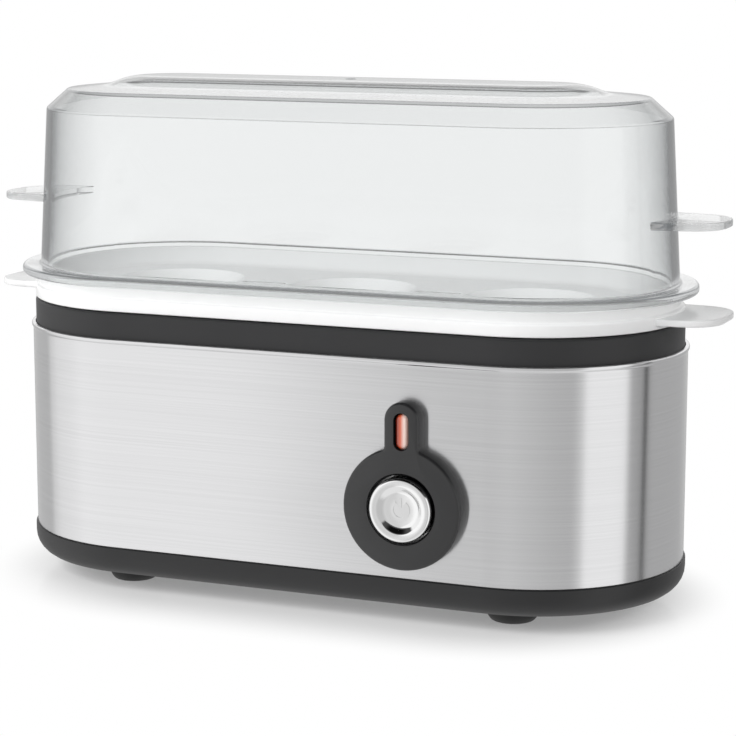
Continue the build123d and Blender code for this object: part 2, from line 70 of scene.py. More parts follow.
def linear(hex_colour):
    """An sRGB hex colour as the linear values that a shader wants."""
    channels = [int(hex_colour[n:n + 2], 16) / 255 for n in (1, 3, 5)]
    return [c / 12.92 if c <= 0.04045 else ((c + 0.055) / 1.055) ** 2.4 for c in channels] + [1.0]


def add_node(tree, kind, settings=(), inputs=(), links=(), stops=()):
    """Add one node: its settings, socket values, links from other nodes' outputs, and colour stops."""
    node = tree.nodes.new(kind)
    for name, value in settings:
        setattr(node, name, value)
    for name, value in inputs:
        node.inputs[name].default_value = value
    for name, output in links:
        tree.links.new(output, node.inputs[name])
    if stops:
        while len(node.color_ramp.elements) < len(stops):
            node.color_ramp.elements.new(1.0)
        for stop, (position, tone) in zip(node.color_ramp.elements, stops):
            stop.position = position
            stop.color = linear(tone)
    return node


def new_material(name):
    """An empty node material: returns the material, its tree and its output node."""
    material = bpy.data.materials.new(name)
    material.use_nodes = True
    tree = material.node_tree
    tree.nodes.clear()
    return material, tree, tree.nodes.new("ShaderNodeOutputMaterial")


bpy.ops.object.select_all(action="DESELECT")
bpy.ops.mesh.primitive_plane_add(size=40.0)
table = bpy.context.object
table.name = "table"
material, tree, output = new_material("table_white")
rays = add_node(tree, "ShaderNodeLightPath")
place = add_node(tree, "ShaderNodeTexCoord")
folded = add_node(tree, "ShaderNodeVectorMath", [("operation", "ABSOLUTE")],
                  links=[(0, place.outputs["Object"])])
beyond = add_node(tree, "ShaderNodeVectorMath", [("operation", "SUBTRACT")],
                  inputs=[(1, (LINE_HALF_LENGTH, 0, 0))], links=[(0, folded.outputs[0])])
outside = add_node(tree, "ShaderNodeVectorMath", [("operation", "MAXIMUM")], links=[(0, beyond.outputs[0])])
away = add_node(tree, "ShaderNodeVectorMath", [("operation", "LENGTH")], links=[(0, outside.outputs[0])])
fade = add_node(tree, "ShaderNodeMapRange", [("interpolation_type", "SMOOTHSTEP")], inputs=[
    ("From Min", SHADOW_REACH), ("From Max", WHITE_REACH), ("To Min", WHITE_UNDER_BASE), ("To Max", 1.0)],
                links=[("Value", away.outputs["Value"])])
whiten = add_node(tree, "ShaderNodeMath", [("operation", "MULTIPLY")], links=[
    (0, fade.outputs[0]), (1, rays.outputs["Is Camera Ray"])])
paper = add_node(tree, "ShaderNodeBsdfPrincipled", inputs=[
    ("Base Color", linear("#F4F4F4")), ("Roughness", 0.18), ("IOR", 1.2)])
white = add_node(tree, "ShaderNodeEmission", inputs=[("Color", linear("#FFFFFF")), ("Strength", 1.0)])
near = add_node(tree, "ShaderNodeMixShader", links=[
    (0, whiten.outputs[0]), (1, paper.outputs[0]), (2, white.outputs[0])])
through = add_node(tree, "ShaderNodeMixShader", links=[
    (0, rays.outputs["Is Transmission Ray"]), (1, near.outputs[0]), (2, white.outputs[0])])
mirrored = add_node(tree, "ShaderNodeMath", [("operation", "MINIMUM")], inputs=[(1, 1.0)],
                    links=[(0, rays.outputs["Glossy Depth"])])
open_room = add_node(tree, "ShaderNodeBsdfTransparent")
mixed = add_node(tree, "ShaderNodeMixShader", links=[
    (0, mirrored.outputs[0]), (1, through.outputs[0]), (2, open_room.outputs[0])])
tree.links.new(mixed.outputs[0], output.inputs["Surface"])
table.data.materials.append(material)


# Light. A white room with soft panels round it and a few greyer gaps, as brushed steel mirrors in a studio,
# and a dark ceiling. A turn of 0 faces the left-hand end, 0.25 the control side, 0.5 the right-hand end and
# 0.75 the back. What is seen directly or straight through the lid is pure white.
PANELS = [
    (0.0, "#ECECEC"), (0.06, "#F6F6F6"), (0.088, "#FDFDFD"), (0.176, "#FBFBFB"), (0.184, "#E4E4E4"),
    (0.189, "#DEDEDE"), (0.194, "#CFCFCF"), (0.25, "#D3D3D3"), (0.345, "#C2C2C2"), (0.385, "#BEBEBE"),
    (0.402, "#D4D4D4"), (0.416, "#FCFCFC"), (0.505, "#FCFCFC"), (0.519, "#B4B4B4"), (0.551, "#A4A4A4"),
    (0.556, "#020202"), (0.562, "#020202"), (0.566, "#A4A4A4"), (0.58, "#B2B2B2"), (0.71, "#B2B2B2"),
    (0.80, "#C8C8C8"), (0.90, "#BEBEBE"), (0.970, "#BEBEBE"), (0.985, "#E2E2E2")]
TONE_INSIDE_LID = "#8E8E8E"
ROOM_STRENGTH = 1.09
LIT_MIDDLE = Vector((0, 0, 0.06))

world = bpy.data.worlds.new("room")
world.use_nodes = True
bpy.context.scene.world = world
tree = world.node_tree
tree.nodes.clear()
way = add_node(tree, "ShaderNodeTexCoord")
turn = add_node(tree, "ShaderNodeTexGradient", [("gradient_type", "RADIAL")],
                links=[("Vector", way.outputs["Generated"])])
panels = add_node(tree, "ShaderNodeValToRGB", links=[("Fac", turn.outputs["Fac"])], stops=PANELS)
split = add_node(tree, "ShaderNodeSeparateXYZ", links=[("Vector", way.outputs["Generated"])])


def height_band(below, colour, low, high, share=None):
    """Blend a colour over the room, from the height low up to the height high of a direction."""
    band = add_node(tree, "ShaderNodeMapRange", [("interpolation_type", "SMOOTHSTEP")], inputs=[
        ("From Min", low), ("From Max", high)], links=[("Value", split.outputs["Z"])])
    if share:
        band = add_node(tree, "ShaderNodeMath", [("operation", "MULTIPLY")],
                        links=[(0, band.outputs[0]), (1, share)])
    return add_node(tree, "ShaderNodeMix", [("data_type", "RGBA")], inputs=[(7, linear(colour))], links=[
        (0, band.outputs[0]), (6, below)]).outputs[2]


back = add_node(tree, "ShaderNodeMapRange", [("interpolation_type", "SMOOTHSTEP")], inputs=[
    ("From Min", 0.0), ("From Max", 0.4)], links=[("Value", split.outputs["Y"])])
tones = height_band(panels.outputs["Color"], "#F6F6F6", 0.02, 0.12, back.outputs[0])
tones = height_band(tones, "#4A4A4A", 0.38, 0.50)
tones = height_band(tones, "#0C0C0C", 0.58, 0.74)
tones = height_band(tones, "#E4E4E4", -0.60, -0.85)
rays = add_node(tree, "ShaderNodeLightPath")
mirrored = add_node(tree, "ShaderNodeMath", [("operation", "MINIMUM")], inputs=[(1, 1.0)],
                    links=[(0, rays.outputs["Glossy Depth"])])
inside = add_node(tree, "ShaderNodeMath", [("operation", "MULTIPLY")], links=[
    (0, mirrored.outputs[0]), (1, rays.outputs["Is Transmission Ray"])])
toned = add_node(tree, "ShaderNodeMix", [("data_type", "RGBA")], inputs=[(7, linear(TONE_INSIDE_LID))],
                 links=[(0, inside.outputs[0]), (6, tones)])
room = add_node(tree, "ShaderNodeBackground", inputs=[("Strength", ROOM_STRENGTH)],
                links=[("Color", toned.outputs[2])])
backdrop = add_node(tree, "ShaderNodeBackground", inputs=[("Color", linear("#FFFFFF")), ("Strength", 1.0)])
straight = add_node(tree, "ShaderNodeMath", [("operation", "SUBTRACT")], links=[
    (0, rays.outputs["Is Transmission Ray"]), (1, inside.outputs[0])])
seen = add_node(tree, "ShaderNodeMath", [("operation", "MAXIMUM")],
                links=[(0, rays.outputs["Is Camera Ray"]), (1, straight.outputs[0])])
mixed = add_node(tree, "ShaderNodeMixShader", links=[
    (0, seen.outputs[0]), (1, room.outputs[0]), (2, backdrop.outputs[0])])
world_output = tree.nodes.new("ShaderNodeOutputWorld")
tree.links.new(mixed.outputs[0], world_output.inputs["Surface"])


def soft_light(name, place, size, watts):
    """A square soft light at a place, turned to face the cooker. Nothing mirrors it or shows it through."""
    data = bpy.data.lights.new(name, "AREA")
    data.size = size
    data.energy = watts
    light = bpy.data.objects.new(name, data)
    bpy.context.scene.collection.objects.link(light)
    light.visible_glossy = False
    light.visible_transmission = False
    light.location = place
    light.rotation_euler = (Vector(place) - LIT_MIDDLE).to_track_quat("Z", "Y").to_euler()


soft_light("key_light", place=(-0.75, -0.95, 0.9), size=0.9, watts=17.0)
soft_light("right_light", place=(1.2, -0.5, 0.7), size=0.6, watts=4.0)


# Base moulding. A shallow black ABS tray that the steel stands on, with its lower edge rolled under.
# Vent slots and two screw recesses are moulded into its floor. ABS gives it a dark, soft sheen.
MM = 0.001
END_X = 52.3
END_RADIUS = 40.2
END_STEPS = 48
BASE_FLOOR_TOP = 7.2
EDGE_ROLL = 5.76
EDGE_ROLL_STEPS = 5
VENT_PITCH = 9.0
VENT_WIDTH = 2.4
VENT_LENGTH = 18.0
SCREW_X = 85.5
SCREW_WELL_RADIUS = 2.6
SMOOTH_UNDER = math.radians(32)


def take(mesh, test):
    """In edit mode, select only the vertices, edges and faces whose corners pass the test, given in mm."""
    form = bmesh.from_edit_mesh(mesh)
    for part in (form.verts, form.edges, form.faces):
        for item in part:
            item.select = False
    for corner in form.verts:
        corner.select = test(corner.co / MM)
    form.select_flush(True)
    bmesh.update_edit_mesh(mesh)


def outline_piece(name, corners, place):
    """A new object whose one face has the given corners, each put into space by place, in mm."""
    bpy.ops.object.select_all(action="DESELECT")
    bpy.ops.mesh.primitive_circle_add(vertices=len(corners), fill_type="NGON")
    piece = bpy.context.object
    piece.name = name
    piece.data.name = name
    for vertex, corner in zip(piece.data.vertices, corners):
        vertex.co = place(corner) * MM
    return piece


def round_corners(piece, corners, place, steps=4):
    """In edit mode, round each corner of the outline that has a third value, by that value in mm."""
    for corner in corners:
        if len(corner) > 2:
            spot = place(corner)
            take(piece.data, lambda v: (v - spot).length < 1e-3)
            bpy.ops.mesh.bevel(offset=corner[2] * MM, segments=steps, affect="VERTICES", clamp_overlap=True)


def half_place(corner):
    """Where an (inset, height) corner of a half section lies, at the front of the right-hand end."""
    return Vector((END_X, corner[0] - END_RADIUS, corner[1]))


def racetrack(name, corners, middle=None):
    """Carry a half section round the outline. With middle, the (high, low) heights, its two ends stay apart
    and each is closed by one flat face."""
    piece = outline_piece(name, corners, half_place)
    bpy.ops.object.mode_set(mode="EDIT")
    round_corners(piece, corners, half_place)
    bpy.ops.mesh.select_all(action="SELECT")
    bpy.ops.mesh.delete(type="ONLY_FACE")
    if middle:
        take(piece.data, lambda v: abs(v.y - corners[0][0] + END_RADIUS) < 1e-3)
        bpy.ops.mesh.delete(type="EDGE")
    bpy.ops.mesh.select_all(action="SELECT")
    for side in (1, -1):
        bpy.ops.mesh.spin(steps=END_STEPS, angle=-math.pi, center=(side * END_X * MM, 0, 0), axis=(0, 0, 1))
        bpy.ops.mesh.extrude_region_move(TRANSFORM_OT_translate={"value": (-2 * side * END_X * MM, 0, 0)})
    bpy.ops.mesh.select_all(action="SELECT")
    bpy.ops.mesh.remove_doubles(threshold=1e-6)
    for height in middle or ():
        take(piece.data, lambda v: abs(v.z - height) < 1e-3)
        bpy.ops.mesh.select_mode(type="EDGE")
        bpy.ops.mesh.select_all(action="DESELECT")
        form = bmesh.from_edit_mesh(piece.data)
        for edge in form.edges:
            edge.select = edge.is_boundary and all(abs(v.co.z / MM - height) < 1e-3 for v in edge.verts)
        bmesh.update_edit_mesh(piece.data)
        bpy.ops.mesh.edge_face_add()
        bpy.ops.mesh.select_mode(type="VERT")
    bpy.ops.mesh.select_all(action="SELECT")
    bpy.ops.mesh.normals_make_consistent(inside=False)
    bpy.ops.object.mode_set(mode="OBJECT")
    return piece


def cut_with(piece, cutter, operation="DIFFERENCE"):
    """Cut a piece with another object, or join them with UNION, and throw the other object away."""
    bpy.ops.object.select_all(action="DESELECT")
    piece.select_set(True)
    bpy.context.view_layer.objects.active = piece
    boolean = piece.modifiers.new("cut", "BOOLEAN")
    boolean.operation = operation
    boolean.solver = "EXACT"
    boolean.object = cutter
    bpy.ops.object.modifier_apply(modifier=boolean.name)
    bpy.data.objects.remove(cutter)


def cut_slot(piece, centre, width, length, steps):
    """Cut an upright slot with round ends, 8 mm high and with its long side along X, into a piece."""
    bpy.ops.mesh.primitive_cylinder_add(vertices=steps, radius=width / 2 * MM, depth=8 * MM,
                                        location=[c * MM for c in centre])
    cutter = bpy.context.object
    half_run = (length - width) / 2 * MM
    for vertex in cutter.data.vertices:
        vertex.co.x += half_run if vertex.co.x > 0 else -half_run
    cut_with(piece, cutter)


def finish_piece(piece, body, slot, material, *replaced):
    """Shade a piece, give it its material and tie it to its CAD body."""
    bpy.ops.object.select_all(action="DESELECT")
    piece.select_set(True)
    bpy.context.view_layer.objects.active = piece
    bpy.ops.object.shade_smooth_by_angle(angle=SMOOTH_UNDER)
    piece.data.materials.clear()
    piece.data.materials.append(material)
    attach(piece, body)
    if replaced:
        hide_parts(*replaced)


rolled_edge = []
for step in range(EDGE_ROLL_STEPS + 1):
    turn = math.radians(60 * step / EDGE_ROLL_STEPS)
    rolled_edge.append((EDGE_ROLL * (1 - math.cos(turn)) - 0.5, 10.0 - EDGE_ROLL * math.sin(turn)))
base = racetrack("base_moulding", [
    (20.0, BASE_FLOOR_TOP), (2.7, BASE_FLOOR_TOP, 0.8), (2.7, 16.1), (0.8, 16.1), (0.8, 12.5),
    (-0.5, 12.5, 0.3), *rolled_edge, (20.0, rolled_edge[-1][1])], middle=(BASE_FLOOR_TOP, rolled_edge[-1][1]))
for row in (-1, 0, 1):
    cut_slot(base, (0, row * VENT_PITCH, 6), VENT_WIDTH, VENT_LENGTH, 24)
for x in (-SCREW_X, SCREW_X):
    bpy.ops.mesh.primitive_cylinder_add(vertices=32, radius=SCREW_WELL_RADIUS * MM, depth=2.2 * MM,
                                        location=(x * MM, 0, 5 * MM))
    cut_with(base, bpy.context.object)


def surface(name, colour, shade, roughness, grain_mm, bump_mm, **values):
    """A made material: a grain of a given width in the roughness and relief, and patches about 20 mm wide
    between two close shades. Real grain is finer than the render shows, so it is drawn coarser. On chrome,
    glass and clear plastic a wide grain stands for slow waves in the surface."""
    material, tree, output = new_material(name)
    place = add_node(tree, "ShaderNodeTexCoord")
    grain = add_node(tree, "ShaderNodeTexNoise", inputs=[("Scale", 1 / (grain_mm * MM)), ("Detail", 4.0)],
                     links=[("Vector", place.outputs["Object"])])
    patches = add_node(tree, "ShaderNodeTexNoise", inputs=[("Scale", 45.0), ("Detail", 5.0)],
                       links=[("Vector", place.outputs["Object"])])
    tint = add_node(tree, "ShaderNodeMix", [("data_type", "RGBA")],
                    inputs=[(6, linear(shade)), (7, linear(colour))], links=[(0, patches.outputs["Fac"])])
    gloss = add_node(tree, "ShaderNodeMapRange", inputs=[
        ("To Min", roughness * 0.85), ("To Max", roughness * 1.15)], links=[("Value", grain.outputs["Fac"])])
    relief = add_node(tree, "ShaderNodeBump", inputs=[("Strength", 0.5), ("Distance", bump_mm * MM)],
                      links=[("Height", grain.outputs["Fac"])])
    shader = add_node(tree, "ShaderNodeBsdfPrincipled", inputs=list(values.items()), links=[
        ("Base Color", tint.outputs[2]), ("Roughness", gloss.outputs[0]), ("Normal", relief.outputs[0])])
    tree.links.new(shader.outputs[0], output.inputs["Surface"])
    return material, tree, shader


black_plastic = surface("black_moulded_abs", "#202021", "#1B1B1C", 0.42, 0.5, 0.02,
                        **{"Specular IOR Level": 0.55})[0]
finish_piece(base, "base", "base_black", black_plastic, "base_pan")


# Feet. Four soft pads of moulded black rubber, let into the base and rounded where they meet the table.
# The rubber is darker and duller than the ABS round it.
FOOT_X = 55.0
FOOT_Y = 23.0


def turned(name, corners, centre, upright=True, steps=64, open_middle=True):
    """Turn a (radius, height) outline about an upright axis at centre, or about an axis along Y."""
    def spot(corner):
        if upright:
            return Vector((centre[0] + corner[0], centre[1], centre[2] + corner[1]))
        return Vector((centre[0] + corner[0], centre[1] + corner[1], centre[2]))
    piece = outline_piece(name, corners, spot)
    bpy.ops.object.mode_set(mode="EDIT")
    round_corners(piece, corners, spot)
    bpy.ops.mesh.select_all(action="SELECT")
    bpy.ops.mesh.delete(type="ONLY_FACE")
    if open_middle:
        take(piece.data, lambda v: abs(v.x - centre[0]) < 1e-3)
        bpy.ops.mesh.delete(type="EDGE")
    bpy.ops.mesh.select_all(action="SELECT")
    bpy.ops.mesh.spin(steps=steps, angle=2 * math.pi, center=[c * MM for c in centre],
                      axis=(0, 0, 1) if upright else (0, 1, 0))
    bpy.ops.mesh.select_all(action="SELECT")
    bpy.ops.mesh.remove_doubles(threshold=1e-6)
    bpy.ops.mesh.normals_make_consistent(inside=False)
    bpy.ops.object.mode_set(mode="OBJECT")
    return piece


rubber = surface("black_foot_rubber", "#1A1A1A", "#141414", 0.6, 0.3, 0.02)[0]
for row, y in (("front", -FOOT_Y), ("rear", FOOT_Y)):
    for side, x in (("left", -FOOT_X), ("right", FOOT_X)):
        foot = turned("pad_" + row + "_" + side, [
            (0, 0), (5.6, 0, 0.6), (6.7, 1.5, 0.6), (7.2, 5.0), (7.2, 6.0), (0, 6.0)], (x, y, 0))
        finish_piece(foot, "base", "foot_rubber", rubber, "foot_" + row + "_" + side)


# Skirt. One strip of stainless sheet, brushed along its length and wrapped round both mouldings.
# It is cut for the keyhole bezel in front and for the cord gland behind.
CONTROL_X = 32.0
CONTROL_Z = 31.5
STEM_RISE = 22.8
GLAND_X = -30.0
GLAND_Z = 24.0
NOTCH_WIDTH = 10.8
NOTCH_HEIGHT = 18.0
NOTCH_MIDDLE_Z = 20.4


def arc(centre_x, centre_z, radius, start, sweep, steps, skip=0):
    """Points along an arc seen from the front. With skip, that many are left off at each end."""
    return [(centre_x + radius * math.cos(start + sweep * n / steps),
             centre_z + radius * math.sin(start + sweep * n / steps)) for n in range(skip, steps + 1 - skip)]


def keyhole_outline(radius, half_width, neck):
    """The corners of a keyhole seen from the front: a disc, a round-ended stem and two rounds between them."""
    neck_x = half_width + neck
    rise = math.sqrt((radius + neck) ** 2 - neck_x ** 2)
    slope = math.atan2(rise, neck_x)
    return (arc(0, STEM_RISE, half_width, 0, math.pi, 24)
            + arc(-neck_x, rise, neck, 0, -slope, 6)
            + arc(0, 0, radius, math.pi - slope, math.pi + 2 * slope, 96, skip=1)
            + arc(neck_x, rise, neck, math.pi + slope, -slope, 6))


def slot_outline(half_width, low, high):
    """The corners of an upright slot with round ends, seen from the front."""
    top = arc(0, high, half_width, 0, math.pi, 16)
    return top + [(-x, low + high - z) for x, z in top]


def front_plate(name, corners, front_y, back_y):
    """A closed plate with an outline seen from the front, between two depths."""
    plate = outline_piece(name, corners, lambda c: Vector((CONTROL_X + c[0], front_y, CONTROL_Z + c[1])))
    bpy.ops.object.mode_set(mode="EDIT")
    bpy.ops.mesh.select_all(action="SELECT")
    bpy.ops.mesh.extrude_region_move(TRANSFORM_OT_translate={"value": (0, (back_y - front_y) * MM, 0)})
    bpy.ops.mesh.select_all(action="SELECT")
    bpy.ops.mesh.normals_make_consistent(inside=False)
    bpy.ops.object.mode_set(mode="OBJECT")
    return plate


skirt = racetrack("brushed_skirt", [
    (0, 12.5, 0.15), (0, 67.9, 0.2), (-0.4, 68.3, 0.3), (-0.4, 69.3, 0.4), (0.6, 69.3), (0.6, 12.5)])
opening = keyhole_outline(radius=14.6, half_width=3.4, neck=2.4)
cut_with(skirt, front_plate("bezel_opening", opening, front_y=-42.0, back_y=-38.0))
bpy.ops.object.select_all(action="DESELECT")
bpy.ops.mesh.primitive_cube_add(size=MM, location=(GLAND_X * MM, END_RADIUS * MM, NOTCH_MIDDLE_Z * MM),
                                scale=(NOTCH_WIDTH, 4.0, NOTCH_HEIGHT))
cut_with(skirt, bpy.context.object)

# The brushing is drawn as streaks about 110 mm long and 0.3 mm apart, a few times coarser than real ones, so
# that they show. They draw the reflections out up and down the sheet, into tall soft bands.
STREAKS_PER_METRE = (9.0, 9.0, 3200.0)
material, tree, output = new_material("brushed_stainless_steel")
place = add_node(tree, "ShaderNodeTexCoord")
stretch = add_node(tree, "ShaderNodeMapping", inputs=[("Scale", STREAKS_PER_METRE)],
                   links=[("Vector", place.outputs["Object"])])
lines = add_node(tree, "ShaderNodeTexNoise", inputs=[("Scale", 1.0), ("Detail", 3.0), ("Roughness", 0.6)],
                 links=[("Vector", stretch.outputs[0])])
tone = add_node(tree, "ShaderNodeMix", [("data_type", "RGBA")],
                inputs=[(6, linear("#D6D6D7")), (7, linear("#E7E7E8"))], links=[(0, lines.outputs["Fac"])])
gloss = add_node(tree, "ShaderNodeMapRange", inputs=[("To Min", 0.15), ("To Max", 0.22)],
                 links=[("Value", lines.outputs["Fac"])])
relief = add_node(tree, "ShaderNodeBump", inputs=[("Strength", 0.15), ("Distance", 0.02 * MM)],
                  links=[("Height", lines.outputs["Fac"])])
along = add_node(tree, "ShaderNodeTangent", [("direction_type", "RADIAL"), ("axis", "Z")])
steel = add_node(tree, "ShaderNodeBsdfPrincipled", inputs=[
    ("Metallic", 1.0), ("Anisotropic", 0.9), ("Anisotropic Rotation", 0.25)], links=[
    ("Base Color", tone.outputs[2]), ("Roughness", gloss.outputs[0]), ("Normal", relief.outputs[0]),
    ("Tangent", along.outputs[0])])
tree.links.new(steel.outputs[0], output.inputs["Surface"])
finish_piece(skirt, "base", "skirt_steel", material, "steel_skirt")


# Upper housing. Charcoal ABS, moulded with a fine spark texture that gives a dull, even sheen. The skirt laps
# its band, the rack drops into the recess in its top, and two screw towers and two bosses hang under it.
BOSS_Y = 32.6
TOWER_BORE_RADIUS = 1.3
TOWER_RADIUS = 2.6
TOWER_TOP = 72.1
housing = racetrack("housing_moulding", [
    (0.85, 63.0), (0.85, 76.1, 0.8), (5.6, 76.1, 0.4), (5.6, 73.0), (11.4, 73.0, 0.5), (11.4, 71.2),
    (2.65, 71.2), (2.65, 63.0)])
for x, y, low in ((-SCREW_X, 0, 7.2), (SCREW_X, 0, 7.2), (0, -BOSS_Y, 56.1), (0, BOSS_Y, 56.1)):
    tower = turned("tower", [
        (TOWER_BORE_RADIUS, low), (TOWER_RADIUS, low), (TOWER_RADIUS, TOWER_TOP),
        (TOWER_BORE_RADIUS, TOWER_TOP)], (x, y, 0), steps=32, open_middle=False)
    cut_with(housing, tower, "UNION")
charcoal = surface("charcoal_moulded_abs", "#303031", "#2A2A2B", 0.46, 0.35, 0.02,
                   **{"Specular IOR Level": 0.4})[0]
finish_piece(housing, "base", "charcoal_plastic", charcoal, "upper_housing")


# Heating dish. Thin stainless sheet, drawn into a shallow dish that boils the water, with its flange held up
# against the housing's sill. Drawing leaves it bright and a little uneven.
dish = racetrack("drawn_dish", [
    (20.0, 62.0), (15.0, 62.0, 2.0), (12.4, 71.2, 1.2), (9.7, 71.2), (9.7, 70.5), (13.1, 70.5, 1.0),
    (15.35, 61.3, 2.3), (20.0, 61.3)], middle=(62.0, 61.3))
dish_steel = surface("drawn_stainless_steel", "#C9C9C6", "#B4B4B0", 0.22, 1.2, 0.01, Metallic=1.0)[0]
finish_piece(dish, "base", "dish_steel", dish_steel, "heating_dish")


# Control bezel. Charcoal ABS in the shape of a keyhole, clipped through the skirt, with two posts back to the
# switch bracket, a bore for the button and a slot for the lens. Its satin face catches a soft bright line
# along the rounded rim.
BEZEL_FRONT = -44.1
LENS_SPAN = 5.6
POST_OFFSET = 11.6
bezel = outline_piece("keyhole_bezel", keyhole_outline(radius=15.9, half_width=4.7, neck=1.2),
                      lambda c: Vector((CONTROL_X + c[0], -END_RADIUS, CONTROL_Z + c[1])))
bpy.ops.object.mode_set(mode="EDIT")
bpy.ops.mesh.select_all(action="SELECT")
bpy.ops.mesh.extrude_region_move(TRANSFORM_OT_translate={"value": (0, (BEZEL_FRONT + END_RADIUS) * MM, 0)})
bpy.ops.mesh.select_all(action="SELECT")
bpy.ops.mesh.normals_make_consistent(inside=False)
take(bezel.data, lambda v: v.y < BEZEL_FRONT + 0.1)
bpy.ops.mesh.bevel(offset=0.8 * MM, segments=4, affect="EDGES")
take(bezel.data, lambda v: v.y > -END_RADIUS - 0.01)
bpy.ops.mesh.inset(thickness=1.4 * MM)
bpy.ops.mesh.extrude_region_move(TRANSFORM_OT_translate={"value": (0, 2.4 * MM, 0)})
bpy.ops.mesh.select_all(action="SELECT")
bpy.ops.mesh.normals_make_consistent(inside=False)
bpy.ops.object.mode_set(mode="OBJECT")
for offset in (-POST_OFFSET, POST_OFFSET):
    post = turned("bezel_post", [(0, -39.0), (2.4, -39.0), (2.4, -29.5), (0, -29.5)],
                  (CONTROL_X + offset, 0, CONTROL_Z), upright=False, steps=32)
    cut_with(bezel, post, "UNION")
bore = turned("button_bore", [
    (0, -46), (9.9, -46), (9.3, BEZEL_FRONT + 0.2, 0.3), (8.85, BEZEL_FRONT + 0.8), (8.85, -36), (0, -36)],
    (CONTROL_X, 0, CONTROL_Z), upright=False)
cut_with(bezel, bore)
opening = slot_outline(half_width=2.05, low=STEM_RISE - LENS_SPAN, high=STEM_RISE)
cut_with(bezel, front_plate("lens_opening", opening, front_y=-46.0, back_y=-36.0))
satin_charcoal = surface("satin_charcoal_abs", "#252526", "#202021", 0.30, 0.35, 0.02,
                         **{"Specular IOR Level": 0.65})[0]
finish_piece(bezel, "base", "charcoal_plastic", satin_charcoal, "control_bezel")


# Indicator lens. Glossy amber acrylic with a domed face, pressed into the bezel's stem in front of the neon
# lamp. Light and shade are painted into its colour: a painted shade, nearly black, on the left, for the
# shadow of its recess, and a painted highlight, nearly white, on the right, where the dome faces the light.
LENS_PAINTED_LIGHT_TONES = [(0.0, "#2A0A06"), (0.22, "#7A2412"), (0.45, "#D05834"), (0.70, "#FBE0D6"), (1.0, "#F0B4A0")]
lens = front_plate("amber_lens", slot_outline(half_width=1.97, low=STEM_RISE - LENS_SPAN, high=STEM_RISE),
                   front_y=BEZEL_FRONT + 0.2, back_y=-38.4)
bpy.ops.object.mode_set(mode="EDIT")
take(lens.data, lambda v: v.y < BEZEL_FRONT + 0.3)
bpy.ops.mesh.bevel(offset=1.5 * MM, segments=6, affect="EDGES")
bpy.ops.object.mode_set(mode="OBJECT")
amber, tree, shader = surface("amber_acrylic", "#E8643E", "#C8401E", 0.08, 2.0, 0.01)
shader.inputs["Coat Weight"].default_value = 1.0
shader.inputs["Coat Roughness"].default_value = 0.05
place = add_node(tree, "ShaderNodeTexCoord")
across = add_node(tree, "ShaderNodeSeparateXYZ", links=[("Vector", place.outputs["Object"])])
width = add_node(tree, "ShaderNodeMapRange", inputs=[
    ("From Min", (CONTROL_X - 2.0) * MM), ("From Max", (CONTROL_X + 2.0) * MM)],
                 links=[("Value", across.outputs["X"])])
# The painted shade and highlight across the lens take the place of the two shades above.
painted_lens_light = add_node(tree, "ShaderNodeValToRGB", links=[("Fac", width.outputs[0])], stops=LENS_PAINTED_LIGHT_TONES)
tree.links.new(painted_lens_light.outputs[0], shader.inputs["Base Color"])
finish_piece(lens, "base", "lens_amber", amber, "indicator_lens")


# Button. A moulded cap with a bright chromed skin that mirrors the room: a flat rim round a dished face, with
# the ring and bar of a power sign standing a little proud in the dish. It slides in the bezel's bore.
SIGN_FRONT = -44.35
SIGN_BACK = -44.05
RING_START = math.radians(125)
RING_SWEEP = math.radians(290)
button = turned("chromed_cap", [
    (0, -44.15), (4.6, -44.15, 0.6), (6.2, -45.4, 0.4), (7.8, -45.45, 0.3), (8.4, -44.9, 0.4), (8.4, -37.5),
    (9.8, -37.5), (9.8, -36.5), (7.2, -36.5), (7.2, -43.95), (0, -43.95)],
    (CONTROL_X, 0, CONTROL_Z), upright=False, steps=96)
ring = (arc(0, 0, 2.5, RING_START, RING_SWEEP, 29)
        + arc(0, 0, 1.95, RING_START + RING_SWEEP, -RING_SWEEP, 29))
cut_with(button, front_plate("power_ring", ring, SIGN_FRONT, SIGN_BACK), "UNION")
bar = [(-0.28, 0.6), (0.28, 0.6), (0.28, 3.0), (-0.28, 3.0)]
cut_with(button, front_plate("power_bar", bar, SIGN_FRONT, SIGN_BACK), "UNION")
chrome = surface("chromed_cap_skin", "#F4F4F4", "#EEEEEE", 0.08, 3.0, 0.005, Metallic=1.0)[0]
finish_piece(button, "button", "button_chrome", chrome, "button_cap")


# Cord gland. Black ABS like the base, slid up into the notch in the back of the skirt, with a clear bore for
# the cord. A tongue under it fills the notch down to the base.
TONGUE_LOW = 12.7
gland = turned("gland_moulding", [
    (3.2, 34.2), (6.6, 34.2, 0.5), (6.6, 39.6), (5.2, 39.6), (5.2, 40.2), (7.6, 40.2), (7.2, 45.5, 1.2),
    (3.2, 45.5, 0.6)], (GLAND_X, 0, GLAND_Z), upright=False, open_middle=False)
for half_width, low_y, high_y, high_z in ((5.2, 39.6, 40.25, 29.2), (7.6, 40.2, 41.8, 24.0)):
    bpy.ops.object.select_all(action="DESELECT")
    bpy.ops.mesh.primitive_cube_add(
        size=MM, location=(GLAND_X * MM, (low_y + high_y) / 2 * MM, (TONGUE_LOW + high_z) / 2 * MM),
        scale=(2 * half_width, high_y - low_y, high_z - TONGUE_LOW))
    tongue = bpy.context.object
    clear_way = turned("tongue_bore", [(0, 30), (4.0, 30), (4.0, 50), (0, 50)], (GLAND_X, 0, GLAND_Z),
                       upright=False)
    cut_with(tongue, clear_way)
    cut_with(gland, tongue, "UNION")
finish_piece(gland, "base", "base_black", black_plastic, "cord_gland")


